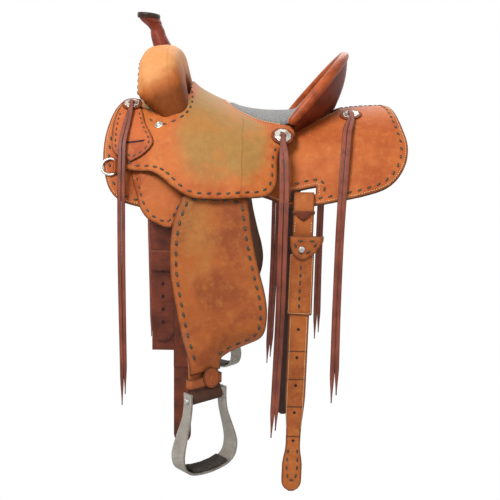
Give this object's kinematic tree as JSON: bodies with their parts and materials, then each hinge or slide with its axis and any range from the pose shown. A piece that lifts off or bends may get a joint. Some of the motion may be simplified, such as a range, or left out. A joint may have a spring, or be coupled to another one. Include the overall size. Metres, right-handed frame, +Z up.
{
  "type": "barrel racing saddle",
  "caption": "Western barrel racing saddle with tree, swell and horn, high cantle, padded seat, skirts, fenders, stirrups, rigging straps, conchos and saddle strings.",
  "frame": {"origin": "on the horse's spine line at the foot of the seat: the middle of the saddle side to side, level with and below the deepest part of the seat, between the two bars", "axes": "-X towards the horse's head, -Y the near (left) side, +Z up"},
  "size_m": [0.5949, 0.7662, 1.0534],
  "materials": {
    "leather": "rough-out",
    "wood": "unfinished",
    "ground": "plain",
    "horn_leather": "glossy",
    "dark_leather": "satin",
    "suede": "suede",
    "roll_leather": "smooth",
    "cantle_leather": "smooth",
    "latigo": "oiled",
    "fleece": "felted",
    "steel": "satin",
    "aluminium": "satin",
    "rubber": "ribbed",
    "silver": "polished",
    "string": "smooth"
  },
  "bodies": {
    "saddle": {"tree_fork": "wood", "tree_bar_left": "wood", "tree_bar_right": "wood", "tree_cantle": "wood", "ground_seat": "ground", "horn_wrap": "horn_leather", "horn_cap": "dark_leather", "fork_cover": "leather", "seat_pad": "suede", "cantle_roll": "roll_leather", "cantle_back": "cantle_leather", "seat_jockey": "leather", "latigo_keeper": "leather", "skirt_left": "leather", "skirt_lining_left": "fleece", "rigging_plate_left": "leather", "rigging_ring_left": "steel", "concho_front_left": "silver", "concho_middle_left": "silver", "concho_rear_left": "silver", "strings_front_left": "string", "strings_middle_left": "string", "strings_rear_left": "string", "skirt_right": "leather", "skirt_lining_right": "fleece", "rigging_plate_right": "leather", "rigging_ring_right": "steel", "concho_front_right": "silver", "concho_middle_right": "silver", "concho_rear_right": "silver", "strings_front_right": "string", "strings_middle_right": "string", "strings_rear_right": "string"},
    "fender_left": {"fender_left": "leather", "stirrup_leather_left": "leather", "hobble_strap_left": "leather"},
    "stirrup_left": {"stirrup_frame_left": "aluminium", "stirrup_tread_left": "rubber", "stirrup_bolt_left": "steel"},
    "breast_dee_left": {"breast_dee_left": "steel"},
    "fender_right": {"fender_right": "leather", "stirrup_leather_right": "leather", "hobble_strap_right": "leather"},
    "stirrup_right": {"stirrup_frame_right": "aluminium", "stirrup_tread_right": "rubber", "stirrup_bolt_right": "steel"},
    "breast_dee_right": {"breast_dee_right": "steel"},
    "latigo": {"latigo_strap": "latigo"},
    "off_billet": {"off_billet": "latigo"},
    "flank_billet_left": {"flank_billet_left": "leather", "billet_sleeve": "leather", "billet_cap": "leather", "billet_keeper": "dark_leather"},
    "flank_billet_right": {"flank_billet_right": "latigo"}
  },
  "joints": [
    {"name": "fender_swing_left", "type": "hinge", "parent": "saddle", "child": "fender_left", "pos_m": [-0.086, -0.23387, -0.043], "axis": [0, -0.9781, 0.208], "range_deg": [-20, 10]},
    {"name": "stirrup_pivot_left", "type": "hinge", "parent": "fender_left", "child": "stirrup_left", "pos_m": [-0.09212, -0.32522, -0.4365], "axis": [0.7431, 0.6691, 0], "range_deg": [-30, 30]},
    {"name": "breast_dee_swing_left", "type": "hinge", "parent": "saddle", "child": "breast_dee_left", "pos_m": [-0.2762, -0.2021, -0.02074], "axis": [0, 0.3768, 0.9263], "range_deg": [0, 75]},
    {"name": "fender_swing_right", "type": "hinge", "parent": "saddle", "child": "fender_right", "pos_m": [-0.086, 0.23387, -0.043], "axis": [0, 0.9781, 0.208], "range_deg": [-10, 20]},
    {"name": "stirrup_pivot_right", "type": "hinge", "parent": "fender_right", "child": "stirrup_right", "pos_m": [-0.09212, 0.32522, -0.4365], "axis": [0.7431, -0.6691, 0], "range_deg": [-30, 30]},
    {"name": "breast_dee_swing_right", "type": "hinge", "parent": "saddle", "child": "breast_dee_right", "pos_m": [-0.2762, 0.2021, -0.02074], "axis": [0, -0.3768, 0.9263], "range_deg": [-75, 0]},
    {"name": "latigo_swing", "type": "hinge", "parent": "saddle", "child": "latigo", "pos_m": [-0.18, -0.225, -0.072], "axis": [0, -0.9613, 0.2756], "range_deg": [-12, 12]},
    {"name": "off_billet_swing", "type": "hinge", "parent": "saddle", "child": "off_billet", "pos_m": [-0.18, 0.225, -0.072], "axis": [0, 0.9613, 0.2756], "range_deg": [-12, 12]},
    {"name": "flank_billet_swing_left", "type": "hinge", "parent": "saddle", "child": "flank_billet_left", "pos_m": [0.089, -0.21196, -0.07438], "axis": [-1, 0, 0], "range_deg": [0, 25]},
    {"name": "flank_billet_swing_right", "type": "hinge", "parent": "saddle", "child": "flank_billet_right", "pos_m": [0.089, 0.21196, -0.07438], "axis": [1, 0, 0], "range_deg": [0, 25]}
  ]
}
